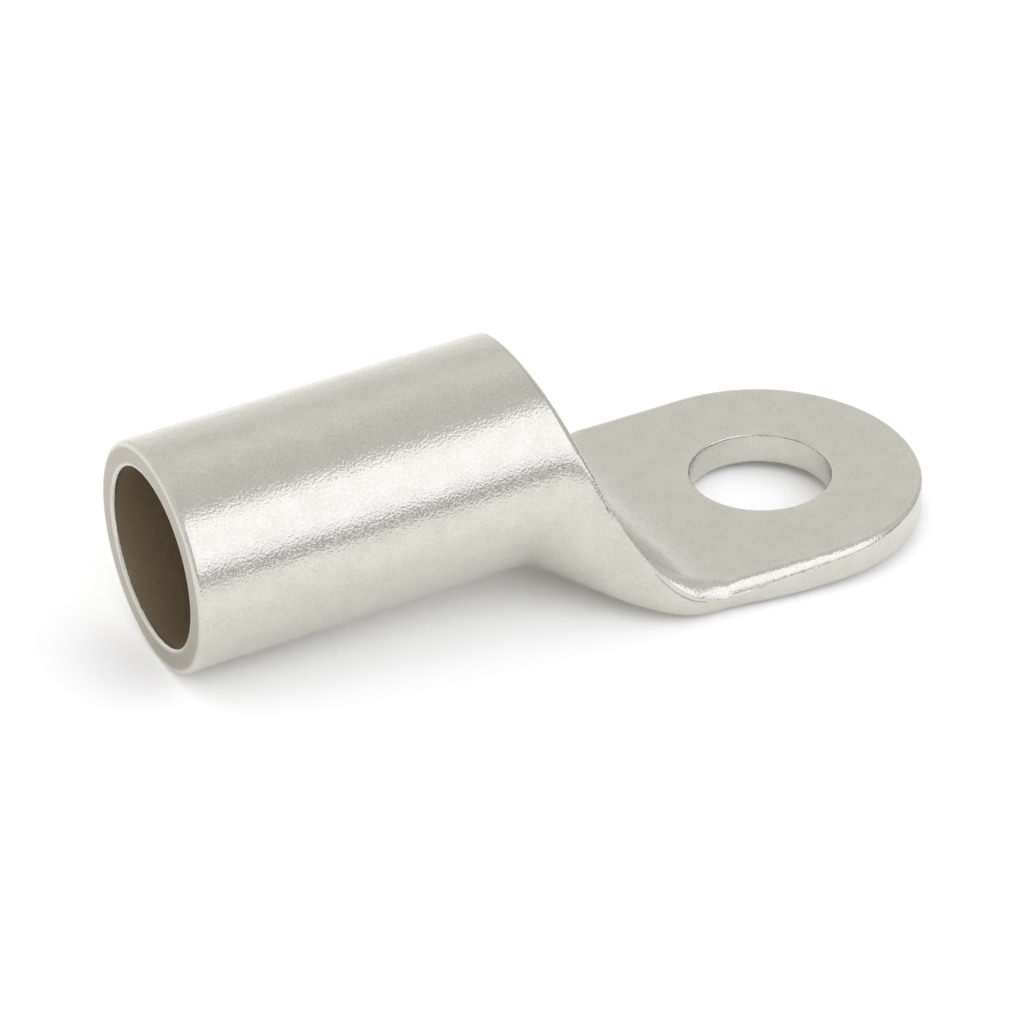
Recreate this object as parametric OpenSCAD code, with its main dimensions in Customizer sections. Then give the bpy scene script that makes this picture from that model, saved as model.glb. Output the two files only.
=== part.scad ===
// Tubular cable lug, a ring terminal pressed from one length of tinned copper tube.
// The barrel keeps the tube's round section and takes the stripped conductor. The other
// end is pressed flat into a palm with a stud hole. Between them a steep step leans back
// over the palm while the flanks of the tube spread sideways to the palm's width.
// Millimetres. Origin: centre of the stud hole, halfway through the palm. +X runs from
// the barrel's mouth towards the tip of the palm, +Z is up along the stud.

/* [Barrel] */
// Outside diameter of the barrel
barrel_od = 16.8; // [15.5:0.1:18]
// Diameter of the bore that takes the conductor
bore_d = 13; // [11:0.1:14.2]
// Length of the barrel along its top, from the mouth to the edge of the step
top_len = 27.8; // [24:0.1:29]
// Rounding of the mouth's two lips
lip_r = 0.5; // [0.2:0.05:0.8]
// Height of the barrel's axis over the middle of the palm, above the stud hole
axis_h = 10.15; // [9.6:0.05:11]
// Slope of the barrel, with its mouth dipping below the level of the palm (degrees)
dip = 1.4; // [0:0.1:3]

/* [Step] */
// Lean of the step's face away from upright (degrees)
lean = 17; // [10:0.5:21]
// Distance from the stud hole's centre back to the foot of the step
foot_x = 9.7; // [8.5:0.1:11]

/* [Palm] */
// Width of the palm
palm_w = 24.7; // [22:0.1:27]
// Thickness of the palm, both walls of the tube pressed together
palm_t = 2.55; // [2.2:0.05:3.2]
// Diameter of the stud hole
hole_d = 10.5; // [6.4:0.1:13]
// Distance from the stud hole's centre to the tip of the palm
hole_to_tip = 11.9; // [11.2:0.1:14]
// Distance from the stud hole's centre to the barrel's mouth
hole_to_mouth = 48.4; // [47:0.1:52]
// Rounding of the palm's folded edges
fold_r = 0.6; // [0.3:0.05:0.9]
// Chamfer round both ends of the stud hole
rim = 0.25; // [0.1:0.05:0.4]

/* [Hidden] */
$fn = 96;

// Barrel
barrel_r = barrel_od / 2;
bore_r = bore_d / 2;
wall = barrel_r - bore_r;
lip = min(lip_r, wall * 0.45);
lead = 2.2;                      // round tube left between the bore's end and the step
bore_len = top_len - lead;

// Faceted pieces stop this far inside the exact ones that they join
seam = 0.02;
// reach this far into them
lap = 0.6;
// and have no ring nearer than this to a plane where an exact piece ends
clear = 0.05;

// Points on one ring of the press-formed length, and rings along it
arc_pts = 24;
flank_pts = 20;
crowd = 2.4;                     // crowds the flank's points towards the underside
round_rings = 6;
step_rings = 14;
pocket_rings = 8;
pocket_pts = 36;

// Squareness of the section: 2 is round, a large value is a flat bar
round_n = 2;
flat_n = 40;
// Part of the formed length over which the flanks spread
spread_from = 0;
spread_to = 0.79;
// Height on the barrel, as a part of its radius, above which it stays round
crown = 0.6;

// Slit left where the two walls meet under the step
slit_h = 0.4;
slit_back = 3;

// Places along the part, in the plane of symmetry: [x, z]
function along(x, v) = [
  -hole_to_mouth + x * cos(dip) - v * sin(dip),
  mouth_z + x * sin(dip) + v * cos(dip)
];
mouth_z = axis_h - hole_to_mouth * tan(dip);
function axis_z(x) = axis_h + x * tan(dip);
// Height of a place above the barrel's axis, square to it
function over_axis(p) = (p[1] - axis_z(p[0])) * cos(dip);

function mix(a, b, s) = a + (b - a) * s;
function ease(s) = let (c = max(0, min(1, s))) c * c * (3 - 2 * c);
function part_way(x, a, b) = ease((x - a) / (b - a));

tube_r = barrel_r - seam;
palm_top = palm_t / 2 - seam;
start_len = bore_len + clear;
start_x = along(start_len, 0)[0];
edge = along(top_len, tube_r);
foot = [-foot_x - clear, palm_top];
formed = foot[0] - edge[0];

// Underside, half width and squareness of the formed length at x
function under_z(x) = mix(axis_z(x) - tube_r / cos(dip), -palm_top,
                          part_way(x, start_x, foot[0]));
function half_w(x) = mix(tube_r, palm_w / 2 - seam,
                         part_way(x, edge[0] + spread_from * formed,
                                  edge[0] + spread_to * formed));
function squareness(x) = round_n * pow(flat_n / round_n, part_way(x, start_x, foot[0]));
function depth(x) = (axis_z(x) - under_z(x)) * cos(dip);

// Half width of the section at place p, at height v over the axis
function flank_y(p, v) = let (q = min(1, abs(v) / depth(p[0])), n = squareness(p[0]))
  half_w(p[0]) * pow(max(0, 1 - pow(q, n)), 1 / n);
function crown_y(p, v) = sqrt(max(0, tube_r * tube_r - v * v))
  + (half_w(p[0]) - tube_r) * ease(1 - v / (crown * tube_r));

// The step's face: straight from its edge down to the axis, then a curve out to the foot
step_mid = along(top_len + barrel_r * tan(lean), 0);
step_dir = (step_mid - edge) / norm(step_mid - edge);
step_root = step_mid + step_dir * (palm_top - step_mid[1]) / step_dir[1];
function step_at(t) = (1 - t) * (1 - t) * step_mid + 2 * t * (1 - t) * step_root + t * t * foot;

// Where a line from p along the step's face meets the underside
function meet(p, tries = 6, x = undef) = let (
    at = is_undef(x) ? p[0] : x,
    z = under_z(at),
    next = p[0] + step_dir[0] * (z - p[1]) / step_dir[1]
  ) tries == 0 ? [next, under_z(next)] : meet(p, tries - 1, next);
step_under = meet(edge);

// One ring: top place a, bottom place b, height of its shoulder and edge rounding c
function ring(a, b, is_round, c) = let (
    va = over_axis(a),
    vb = over_axis(b),
    side = is_round ? 0 : va - c,
    place = function (v) a + (b - a) * (va - v) / (va - vb),
    top = [for (i = [0 : arc_pts]) let (
        f = 180 * i / arc_pts,
        v = is_round ? va * sin(f) : (i == 0 || i == arc_pts ? side : va),
        p = place(v),
        y = is_round ? sign(cos(f)) * crown_y(p, v)
            : (i == 0 || i == arc_pts ? flank_y(p, v) : flank_y(p, v) - c) * cos(f)
      ) [p[0], y, p[1]]],
    flank = [for (j = [1 : flank_pts]) let (
        v = mix(side, vb, 1 - pow(1 - j / flank_pts, crowd)),
        p = place(v)
      ) [p[0], j == flank_pts ? 0 : flank_y(p, v), p[1]]]
  ) concat(
    top,
    [for (p = flank) [p[0], -p[1], p[2]]],
    [for (j = [flank_pts - 2 : -1 : 0]) flank[j]]
  );

// Closed skin over a row of rings, each with the same number of points
module skin(rings) {
  n = len(rings[0]);
  last = len(rings) - 1;
  sides = [for (k = [0 : last - 1], i = [0 : n - 1]) let (
      j = (i + 1) % n,
      a = k * n + i,
      b = k * n + j
    ) each [[b, a, b + n], [b + n, a, a + n]]];
  near = [for (i = [0 : n - 1]) i];
  far = [for (i = [n - 1 : -1 : 0]) last * n + i];
  polyhedron(points = [for (r = rings, p = r) p], faces = concat([near, far], sides));
}

// Press-formed length between the barrel and the palm, solid
module formed_length() {
  round_part = [for (k = [0 : round_rings]) let (t = k / round_rings)
    ring(mix(along(start_len, tube_r), edge, t),
         let (x = mix(along(start_len, -tube_r)[0], step_under[0], t))
           k == round_rings ? step_under : [x, under_z(x)],
         true, 0)];
  stepped_part = [for (k = [1 : step_rings]) let (
      t = k / step_rings,
      x = mix(step_under[0], foot[0], t)
    ) ring(step_at(t), [x, under_z(x)], false, fold_r * t)];
  skin(concat(
    [ring(along(bore_len - lap, tube_r), along(bore_len - lap, -tube_r), true, 0)],
    round_part,
    stepped_part,
    [ring(foot + [lap, 0], [foot[0] + lap, -palm_top], false, fold_r)]
  ));
}

// Hollow beyond the bore, closing to a slit where the tube is pressed flat
module pocket() {
  slit_x = foot[0] - slit_back;
  top_start = along(start_len, bore_r - seam);
  slit_top = [slit_x, slit_h / 2];
  turn = [mix(top_start[0], slit_x, 0.4), slit_h / 2];
  pocket_w = palm_w / 2 - 2 * wall;
  function top_at(t) = (1 - t) * (1 - t) * top_start + 2 * t * (1 - t) * turn + t * t * slit_top;
  function floor_at(t) = let (
      x = mix(along(start_len, seam - bore_r)[0], slit_x, t)
    ) [x, mix(under_z(x) + wall, -slit_h / 2, ease(t))];
  function hoop(a, b, w, n) = [for (i = [0 : pocket_pts - 1]) let (
      f = 360 * i / pocket_pts,
      p = mix(a, b, (1 - sin(f)) / 2)
    ) [p[0], sign(cos(f)) * w * pow(abs(cos(f)), 2 / n), p[1]]];
  skin(concat(
    [hoop(along(bore_len - lap, bore_r - seam), along(bore_len - lap, seam - bore_r),
          bore_r - seam, round_n)],
    [for (k = [0 : pocket_rings]) let (t = k / pocket_rings)
      hoop(top_at(t), k == 0 ? along(start_len, seam - bore_r) : floor_at(t),
           mix(bore_r - seam, pocket_w, ease(t)), mix(round_n, 4, t))]
  ));
}

// Round tube with rounded lips, filled in: the bore is cut out afterwards
module barrel() {
  translate([-hole_to_mouth, 0, mouth_z]) rotate([0, 90 - dip, 0]) union() {
    rotate_extrude() union() {
      square([barrel_r - lip, bore_len]);
      translate([0, lip]) square([barrel_r, bore_len - lip]);
      translate([barrel_r - lip, lip]) circle(r = lip);
    }
  }
}

// Bore with its rounded inner lip
module bore() {
  lip_steps = 6;
  past = 2;
  lip_arc = [for (i = [0 : lip_steps]) let (f = mix(8, 82, i / lip_steps))
    [bore_r + lip * (1 - sin(f)), lip * (1 - cos(f))]];
  translate([-hole_to_mouth, 0, mouth_z]) rotate([0, 90 - dip, 0]) union() {
    translate([0, 0, -past]) cylinder(r = bore_r, h = bore_len + past);
    rotate_extrude() polygon(concat(
      [[0, -past], [lip_arc[0][0] + lip, -past]],
      lip_arc,
      [[0, lip_arc[lip_steps][1]]]
    ));
  }
}

// Section of the palm, flat with rounded folds
module palm_section(w) {
  square([w, palm_t - 2 * fold_r], center = true);
  square([w - 2 * fold_r, palm_t], center = true);
  for (y = [-1, 1], z = [-1, 1])
    translate([y * (w / 2 - fold_r), z * (palm_t / 2 - fold_r)]) circle(r = fold_r);
}

// Flat palm with a semicircular end
module palm() {
  end_x = hole_to_tip - palm_w / 2;
  translate([-foot_x, 0, 0]) rotate([90, 0, 90])
    linear_extrude(height = foot_x + end_x) palm_section(palm_w);
  translate([end_x, 0, 0]) rotate([0, 0, -90]) rotate_extrude(angle = 180)
    intersection() {
      palm_section(palm_w);
      translate([0, -palm_t]) square([palm_w, 2 * palm_t]);
    }
}

// Stud hole, chamfered at both ends
module stud_hole() {
  past = 1;
  cylinder(d = hole_d, h = palm_t + 2 * past, center = true);
  for (side = [0, 1]) mirror([0, 0, side]) translate([0, 0, palm_t / 2 - rim])
    cylinder(r1 = hole_d / 2, r2 = hole_d / 2 + rim + past, h = rim + past);
}

module cable_lug() {
  color("Silver") difference() {
    union() {
      barrel();
      formed_length();
      palm();
    }
    bore();
    pocket();
    stud_hole();
  }
}

cable_lug();
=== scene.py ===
"""A tubular cable lug, a ring terminal pressed from one length of tinned copper tube.

The lug is one piece of metal, made here by one Geometry Nodes tree: a round barrel with
rolled lips, a bore that closes to a slit, a steep step whose flanks spread sideways, and
a flat palm with a stud hole. Sizes are in millimetres inside the classes and the tree,
and the finished mesh is in metres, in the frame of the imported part: the origin is the
centre of the stud hole, +X runs from the mouth to the palm's tip and +Z is up.
"""

from __future__ import annotations

import logging
import math
from dataclasses import dataclass, field
from enum import Enum
from typing import Callable, Union

import bpy
from mathutils import Matrix, Vector

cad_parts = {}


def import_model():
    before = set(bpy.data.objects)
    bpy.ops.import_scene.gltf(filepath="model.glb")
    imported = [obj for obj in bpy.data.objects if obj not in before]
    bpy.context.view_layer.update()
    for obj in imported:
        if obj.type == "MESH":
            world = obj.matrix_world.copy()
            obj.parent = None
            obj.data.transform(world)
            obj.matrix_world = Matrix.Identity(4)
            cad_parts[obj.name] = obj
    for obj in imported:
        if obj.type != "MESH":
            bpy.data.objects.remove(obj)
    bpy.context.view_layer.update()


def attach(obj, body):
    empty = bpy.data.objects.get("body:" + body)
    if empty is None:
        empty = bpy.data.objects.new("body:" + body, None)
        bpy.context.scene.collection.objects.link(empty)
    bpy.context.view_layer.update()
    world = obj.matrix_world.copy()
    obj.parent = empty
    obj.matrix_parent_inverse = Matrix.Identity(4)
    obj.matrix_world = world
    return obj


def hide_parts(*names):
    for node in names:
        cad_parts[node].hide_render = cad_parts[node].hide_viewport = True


LOG = logging.getLogger("ring_terminal")
MILLIMETRE = 0.001
DEGREE = math.pi / 180
QUARTER_TURN = math.pi / 2
HALF_ROOT = math.sqrt(0.5)
# Names of the point attributes: the width of an edge's rounding in millimetres, and a mask
# that places painted shade and rougher metal with less grain, from 0 on the plating over
# the mouth's face to 1 in the bore.
ROUNDING_NAME = "edge_rounding"
SHADE_ROUGH_NAME = "painted_shade_and_roughness"
# Level of that mask on the mouth's face, where a darker tone is painted as shade.
FACE_SHADE_LEVEL = 0.5
# Fullness of a rounded edge, where 0.5 is a round one.
EDGE_PROFILE = 0.42
# Distance in millimetres under which points of neighbouring sheets become one.
WELD = 0.002
# How far in from the mouth, in metres, its lowest point is looked for.
MOUTH_REACH = 0.002


class Slot(Enum):
    """Material slots of the record that a piece may take its finish from."""

    TIN = "tin_plating"


# ---------------------------------------------------------------- nodes and their numbers


def add_node(
    tree: bpy.types.NodeTree,
    kind: str,
    inputs: dict[Union[str, int], object] | None = None,
    **settings: object,
) -> bpy.types.Node:
    """Adds one node to a tree.

    Args:
        tree: the tree that it goes into.
        kind: the node's type name.
        inputs: what each input gets, by its name or number: a field or a socket, which
            is linked, or a plain value, which is set.
        settings: attributes of the node to set.

    Returns:
        The new node.
    """
    made = tree.nodes.new(kind)
    for name, value in settings.items():
        setattr(made, name, value)
    for name, value in (inputs or {}).items():
        feed(tree, made.inputs[name], value)
    return made


def feed(tree: bpy.types.NodeTree, target: bpy.types.NodeSocket, value: object) -> None:
    """Links a field or socket to an input, or sets a plain value on it.

    Args:
        tree: the tree that both are in.
        target: the input socket.
        value: what it gets.
    """
    if isinstance(value, Field):
        value = value.socket
    if isinstance(value, bpy.types.NodeSocket):
        tree.links.new(value, target)
    else:
        target.default_value = value


def blend(
    tree: bpy.types.NodeTree,
    share: bpy.types.NodeSocket,
    first: Union[bpy.types.NodeSocket, tuple[float, float, float]],
    second: tuple[float, float, float],
) -> bpy.types.NodeSocket:
    """Mixes two colours.

    Args:
        tree: the material's tree.
        share: how much of the second colour there is.
        first: the first colour, plain or worked out by a node.
        second: the second colour.

    Returns:
        The mixed colour.
    """
    plain = (*first, 1.0) if isinstance(first, tuple) else first
    inputs = {"Factor": share, "A": plain, "B": (*second, 1.0)}
    return add_node(tree, "ShaderNodeMix", inputs, data_type="RGBA").outputs["Result"]


def _operator(operation: str, swapped: bool = False) -> Callable[["Field", "Number"], "Field"]:
    """One arithmetic operator of a field.

    Args:
        operation: the Math node's operation.
        swapped: True where the field stands on the right of a plain number.

    Returns:
        The method that adds the node.
    """

    def apply(self: "Field", other: "Number") -> "Field":
        """Result of the operator on this number and another."""
        pair = (other, self) if swapped else (self, other)
        return self.maker.math(operation, *pair)

    return apply


class Field:
    """A number worked out for every point of a mesh, held as an output of a node."""

    def __init__(self, maker: "TreeMaker", socket: bpy.types.NodeSocket) -> None:
        """Keeps the tree it belongs to.

        Args:
            maker: the tree's maker, which adds the nodes for arithmetic on this number.
            socket: the node output that carries the number.
        """
        self.maker = maker
        self.socket = socket
        self.key = f"{socket.node.name}:{socket.identifier}"

    __add__ = _operator("ADD")
    __radd__ = _operator("ADD", swapped=True)
    __sub__ = _operator("SUBTRACT")
    __rsub__ = _operator("SUBTRACT", swapped=True)
    __mul__ = _operator("MULTIPLY")
    __rmul__ = _operator("MULTIPLY", swapped=True)
    __truediv__ = _operator("DIVIDE")
    __rtruediv__ = _operator("DIVIDE", swapped=True)
    __pow__ = _operator("POWER")
    __rpow__ = _operator("POWER", swapped=True)

    def __neg__(self) -> "Field":
        """This number with its sign changed."""
        return self.maker.math("MULTIPLY", self, -1.0)


Number = Union[float, int, Field]
Spot = tuple[Number, Number]
Flat = tuple[Number, Number]
Place = tuple[Number, Number, Number]


@dataclass
class TreeMaker:
    """Adds nodes to one Geometry Nodes tree.

    Attributes:
        tree: the tree that the nodes go into.
        sheets: geometry outputs of the sheets made so far.
        known: results of the arithmetic done so far, so that none is done twice.
    """

    tree: bpy.types.NodeTree
    sheets: list[bpy.types.NodeSocket] = field(default_factory=list)
    known: dict[tuple, Field] = field(default_factory=dict)

    def node(
        self, kind: str, inputs: dict[Union[str, int], object] | None = None, **settings: object
    ) -> bpy.types.Node:
        """Adds one node to this tree, as add_node does."""
        return add_node(self.tree, kind, inputs, **settings)

    def math(self, operation: str, *values: Number) -> Field:
        """One Math node.

        Args:
            operation: the node's operation.
            values: its inputs in order.

        Returns:
            The result.
        """
        key = (operation, *(v.key if isinstance(v, Field) else float(v) for v in values))
        if key not in self.known:
            made = self.node("ShaderNodeMath", dict(enumerate(values)), operation=operation)
            self.known[key] = Field(self, made.outputs[0])
        return self.known[key]

    def mix(self, start: Number, end: Number, share: Number) -> Number:
        """The number a share of the way from start to end."""
        return start + (end - start) * share

    def ease(self, value: Number, start: Number = 0.0, end: Number = 1.0) -> Field:
        """A smooth rise from 0 to 1 as value goes from start to end.

        Args:
            value: the number that drives the rise.
            start: where the rise starts.
            end: where it ends.

        Returns:
            The height of the rise.
        """
        numbers = (value, start, end)
        key = ("ease", *(v.key if isinstance(v, Field) else float(v) for v in numbers))
        if key not in self.known:
            inputs = dict(zip(("Value", "From Min", "From Max"), numbers))
            made = self.node("ShaderNodeMapRange", inputs, interpolation_type="SMOOTHSTEP")
            self.known[key] = Field(self, made.outputs[0])
        return self.known[key]

    def choose(self, test: Number, otherwise: Number, chosen: Number) -> Field:
        """One of two numbers.

        Args:
            test: above zero where the chosen number applies.
            otherwise: the number everywhere else.
            chosen: the number where the test holds.

        Returns:
            The number that applies.
        """
        made = self.node("GeometryNodeSwitch", input_type="FLOAT")
        sockets = [s for s in made.inputs if s.enabled]
        for target, value in zip(sockets, (self.above(test, 0.0), otherwise, chosen)):
            feed(self.tree, target, value)
        return Field(self, next(s for s in made.outputs if s.enabled))

    def above(self, value: Number, limit: Number) -> Field:
        """1 where value is above the limit, and 0 elsewhere."""
        return self.math("GREATER_THAN", value, limit)

    def superellipse(self, share: Number, squareness: Number) -> Field:
        """Other half axis of a rounded square.

        Args:
            share: distance from the middle along one half axis, as a part of it.
            squareness: exponent, 2 for an ellipse and large for a square.

        Returns:
            Distance along the other half axis, as a part of it.
        """
        rest = self.math("MAXIMUM", 1.0 - share**squareness, 0.0)
        return rest ** (1.0 / squareness)

    def sheet(
        self,
        rows: int,
        columns: int,
        place: Callable[[Field, Field], Place],
        rounding: Callable[[Field, Field], Number] | None = None,
        shade_rough: Callable[[Field, Field], Number] | None = None,
        turned: bool = False,
    ) -> None:
        """Bends a grid into one sheet of the surface.

        Args:
            rows: number of steps along the first direction.
            columns: number of steps along the second direction.
            place: gives x, y and z from a point's row and column.
            rounding: width of the rounding on an edge through the point.
            shade_rough: level at the point of the mask that places painted shade and rougher
                metal.
            turned: True where the sheet's faces would point inwards.
        """
        counts = {"Vertices X": rows + 1, "Vertices Y": columns + 1}
        grid = self.node("GeometryNodeMeshGrid", {"Size X": 1.0, "Size Y": 1.0, **counts})
        index = Field(self, self.node("GeometryNodeInputIndex").outputs[0])
        row = self.math("FLOOR", (index + 0.25) / (columns + 1))
        column = index - row * (columns + 1)
        geometry = grid.outputs["Mesh"]
        for name, value in ((ROUNDING_NAME, rounding), (SHADE_ROUGH_NAME, shade_rough)):
            number = 0.0 if value is None else value(row, column)
            inputs = {"Geometry": geometry, "Name": name, "Value": number}
            kinds = {"data_type": "FLOAT", "domain": "POINT"}
            store = self.node("GeometryNodeStoreNamedAttribute", inputs, **kinds)
            geometry = store.outputs["Geometry"]
        spot = self.node("ShaderNodeCombineXYZ", dict(enumerate(place(row, column))))
        move = self.node(
            "GeometryNodeSetPosition", {"Geometry": geometry, "Position": spot.outputs[0]}
        )
        geometry = move.outputs["Geometry"]
        if turned:
            geometry = self.node("GeometryNodeFlipFaces", {0: geometry}).outputs[0]
        self.sheets.append(geometry)

    def close(self, material: bpy.types.Material) -> None:
        """Mirrors and joins the sheets, welds them and ends the tree.

        Args:
            material: finish of the whole piece.
        """
        link = self.tree.links.new
        half = self.node("GeometryNodeJoinGeometry")
        for sheet in self.sheets:
            link(sheet, half.inputs[0])
        mirrored = {0: half.outputs[0], "Scale": (1.0, -1.0, 1.0)}
        mirror = self.node("GeometryNodeTransform", mirrored)
        flip = self.node("GeometryNodeFlipFaces", {0: mirror.outputs[0]})
        whole = self.node("GeometryNodeJoinGeometry")
        for side in (half, flip):
            link(side.outputs[0], whole.inputs[0])
        line = (
            whole,
            self.node("GeometryNodeMergeByDistance", {"Distance": WELD}),
            self.node("GeometryNodeTransform", {"Scale": (MILLIMETRE,) * 3}),
            self.node("GeometryNodeSetShadeSmooth"),
            self.node("GeometryNodeRealizeInstances"),
            self.node("GeometryNodeSetMaterial", {"Material": material}),
            self.node("NodeGroupOutput"),
        )
        for before, after in zip(line, line[1:]):
            link(before.outputs[0], after.inputs[0])


# ---------------------------------------------------------------- the lug's metal


@dataclass(frozen=True)
class TinPlating:
    """Matt tin plating on annealed copper, with a fine orange-peel grain.

    Attributes:
        colour: colour of the clean plating.
        shade: colour where it is a little duller.
        cut_colour: painted shade on the mouth's face, a darker tone of the plating.
        bore_colour: painted shade inside the bore, darker and warmer than the plating.
        roughness: how far reflections spread on the clean plating.
        bore_roughness: the same inside the bore.
        grain_scale: number of orange-peel dimples in a metre.
        grain_depth: depth of the dimples in metres.
        bore_grain: part of the dimples' depth that is left inside the bore.
        cloud_scale: number of dull patches in a metre.
        cloud_detail: number of finer layers in the patches.
        cloud_roughness: weight of those layers.
        speckle: how much of the dull pattern follows the dimples, from 0 to 1.
        dull_range: heights of the pattern that count as fully dull and fully clean.
        gloss_range: heights of the patches over which the roughness changes.
        gloss_swing: how far it changes either way, as a part of the roughness.
    """

    colour: tuple[float, float, float] = (0.645, 0.628, 0.565)
    shade: tuple[float, float, float] = (0.585, 0.57, 0.505)
    # Painted shade: a darker tone of the plating on the mouth's face.
    cut_colour: tuple[float, float, float] = (0.43, 0.395, 0.335)
    # Painted shade: a darker, warmer tone inside the bore, where little light reaches.
    bore_colour: tuple[float, float, float] = (0.455, 0.362, 0.235)
    roughness: float = 0.155
    bore_roughness: float = 0.55
    grain_scale: float = 5600.0
    grain_depth: float = 0.000024
    bore_grain: float = 0.5
    cloud_scale: float = 600.0
    cloud_detail: float = 3.0
    cloud_roughness: float = 0.55
    speckle: float = 0.6
    dull_range: tuple[float, float] = (0.36, 0.62)
    gloss_range: tuple[float, float] = (0.3, 0.7)
    gloss_swing: float = 0.15

    def material(self) -> bpy.types.Material:
        """Builds the finish as a node material.

        Returns:
            The new material.
        """
        made = bpy.data.materials.new("tin_plating_matt")
        made.use_nodes = True
        tree = made.node_tree
        where = add_node(tree, "ShaderNodeTexCoord").outputs["Object"]
        shade_rough = add_node(tree, "ShaderNodeAttribute", attribute_name=SHADE_ROUGH_NAME).outputs["Fac"]
        layers = self.cloud_detail, self.cloud_roughness
        clouds = self._noise(tree, where, self.cloud_scale, *layers)
        grain = self._noise(tree, where, self.grain_scale, 1.0, 0.5)

        mixed = {"Factor": self.speckle, "A": clouds, "B": grain}
        pattern = add_node(tree, "ShaderNodeMix", mixed).outputs["Result"]
        colour = blend(
            tree, self._range(tree, pattern, *self.dull_range), self.shade, self.colour
        )
        # Painted shade: the mask puts a darker tone on the mouth's face and a darker, warmer one
        # in the bore.
        for tone, low, high in ((self.cut_colour, 0.0, FACE_SHADE_LEVEL), (self.bore_colour, FACE_SHADE_LEVEL, 1.0)):
            colour = blend(tree, self._range(tree, shade_rough, low, high), colour, tone)

        low, high = self.gloss_range
        gloss = {
            "Value": clouds,
            "From Min": low,
            "From Max": high,
            "To Min": self.roughness * (1.0 + self.gloss_swing),
            "To Max": self.roughness * (1.0 - self.gloss_swing),
        }
        plated = add_node(tree, "ShaderNodeMapRange", gloss).outputs["Result"]
        spread = {"Factor": shade_rough, "A": plated, "B": self.bore_roughness}
        fade = {"Value": shade_rough, "To Min": 1.0, "To Max": self.bore_grain}
        dimples = {
            "Strength": add_node(tree, "ShaderNodeMapRange", fade).outputs["Result"],
            "Distance": self.grain_depth,
            "Height": grain,
        }
        shader = tree.nodes["Principled BSDF"]
        for name, value in (
            ("Metallic", 1.0),
            ("Base Color", colour),
            ("Roughness", add_node(tree, "ShaderNodeMix", spread).outputs["Result"]),
            ("Normal", add_node(tree, "ShaderNodeBump", dimples).outputs["Normal"]),
        ):
            feed(tree, shader.inputs[name], value)
        return made

    def _noise(
        self,
        tree: bpy.types.NodeTree,
        where: bpy.types.NodeSocket,
        scale: float,
        detail: float,
        rough: float,
    ) -> bpy.types.NodeSocket:
        """One noise pattern on object coordinates.

        Args:
            tree: the material's tree.
            where: coordinates that the pattern is read at.
            scale: number of features in a metre.
            detail: number of finer layers.
            rough: weight of the finer layers.

        Returns:
            The pattern's height.
        """
        inputs = {"Vector": where, "Scale": scale, "Detail": detail, "Roughness": rough}
        return add_node(tree, "ShaderNodeTexNoise", inputs).outputs["Fac"]

    def _range(
        self, tree: bpy.types.NodeTree, value: bpy.types.NodeSocket, low: float, high: float
    ) -> bpy.types.NodeSocket:
        """Stretches a pattern so that low becomes 0 and high becomes 1.

        Args:
            tree: the material's tree.
            value: the pattern.
            low: height that becomes 0.
            high: height that becomes 1.

        Returns:
            The stretched pattern.
        """
        inputs = {"Value": value, "From Min": low, "From Max": high}
        made = add_node(tree, "ShaderNodeMapRange", inputs, interpolation_type="SMOOTHSTEP")
        return made.outputs["Result"]


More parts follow.
